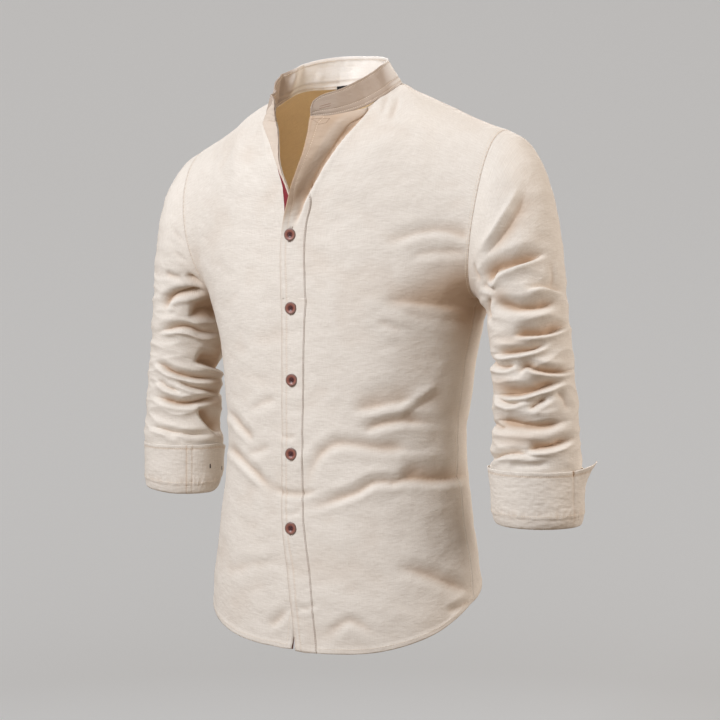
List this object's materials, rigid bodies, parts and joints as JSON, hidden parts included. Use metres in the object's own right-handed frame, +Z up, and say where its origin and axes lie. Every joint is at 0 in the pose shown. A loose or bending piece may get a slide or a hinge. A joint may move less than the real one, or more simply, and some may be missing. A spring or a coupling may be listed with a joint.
{
  "type": "band-collar shirt, long sleeves worn short",
  "caption": "A cream band-collar shirt in the hollow shape it keeps when worn, long sleeves pushed up to turned cuffs, buttoned front and a curved hem.",
  "frame": {"origin": "midway between the two high shoulder points, where the collar meets the shoulder seams", "axes": "+Z up to the collar, -Y out of the front, +X to the wearer's left sleeve"},
  "size_m": [0.6803, 0.2531, 0.7711],
  "materials": {
    "cloth": "cream slubbed linen and cotton",
    "tape": "dark red woven tape",
    "label": "plain dark woven label",
    "button": "brown, dull shine"
  },
  "bodies": {
    "root": {"front_left": "cloth", "front_right": "cloth", "back": "cloth", "sleeve_left": "cloth", "sleeve_right": "cloth", "cuff_left": "cloth", "cuff_right": "cloth", "collar_band": "cloth", "placket_left": "cloth", "front_tape": "tape", "neck_label": "label", "button_1": "button", "button_2": "button", "button_3": "button", "button_4": "button", "button_5": "button"}
  },
  "joints": []
}
